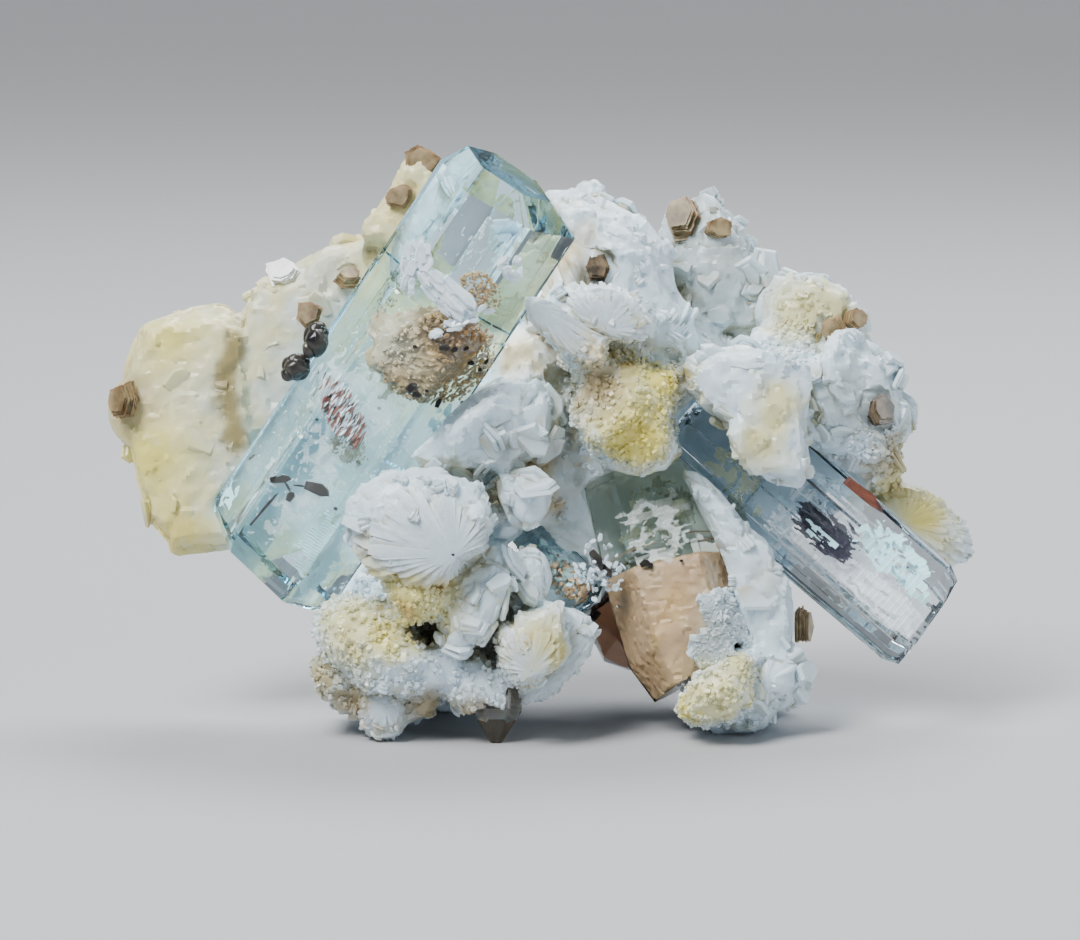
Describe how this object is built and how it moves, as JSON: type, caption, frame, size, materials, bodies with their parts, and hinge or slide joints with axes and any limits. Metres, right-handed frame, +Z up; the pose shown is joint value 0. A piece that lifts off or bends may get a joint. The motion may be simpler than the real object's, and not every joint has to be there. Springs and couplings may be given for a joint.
{
  "type": "aquamarine crystal specimen",
  "caption": "Mineral specimen: clear pale-blue hexagonal aquamarine crystals grown on white bladed albite, with a cream feldspar block and golden mica books.",
  "frame": {"origin": "middle of the base of the bounding box, on the surface that the specimen rests on", "axes": "+X to the right of a viewer who faces the display side, +Y away from that viewer, +Z up"},
  "size_m": [0.1096, 0.0548, 0.0729],
  "materials": {
    "albite": "bluish-white sugary and bladed albite with cream stains, satin to glassy",
    "cream_feldspar": "cream-yellow blocky feldspar, waxy satin",
    "aquamarine": "pale blue-green see-through beryl, glassy, with veils and dark specks inside",
    "clouded_aquamarine": "beryl clouded tan, see-through at its upper end",
    "smoky_quartz": "dark brown see-through quartz, glassy",
    "tan_quartz": "tan quartz, half clear",
    "tourmaline": "black, knobbly, half glossy",
    "mica": "golden-brown mica in stacked sheets, glossy on the flat faces",
    "pearly_mica": "silvery white mica, pearly",
    "dark_mica": "dark brown mica, glossy"
  },
  "bodies": {
    "root": {"albite": "albite", "cream_feldspar": "cream_feldspar", "aquamarine_large": "aquamarine", "aquamarine_right": "aquamarine", "aquamarine_small": "aquamarine", "aquamarine_centre": "clouded_aquamarine", "smoky_quartz": "smoky_quartz", "quartz_tip": "tan_quartz", "tourmaline_upper": "tourmaline", "tourmaline_lower": "tourmaline", "mica_left_edge": "mica", "mica_cream_middle": "mica", "mica_cream_upper": "mica", "mica_pearl": "pearly_mica", "mica_gold_disc": "mica", "mica_gold_crest": "mica", "mica_top_right": "mica", "mica_top_right_small": "mica", "mica_right_bar": "mica", "mica_right_bar_end": "mica", "mica_dark_book": "dark_mica", "mica_olive_lens": "mica", "mica_in_hollow": "dark_mica", "mica_back": "mica", "mica_back_low": "mica"}
  },
  "joints": []
}
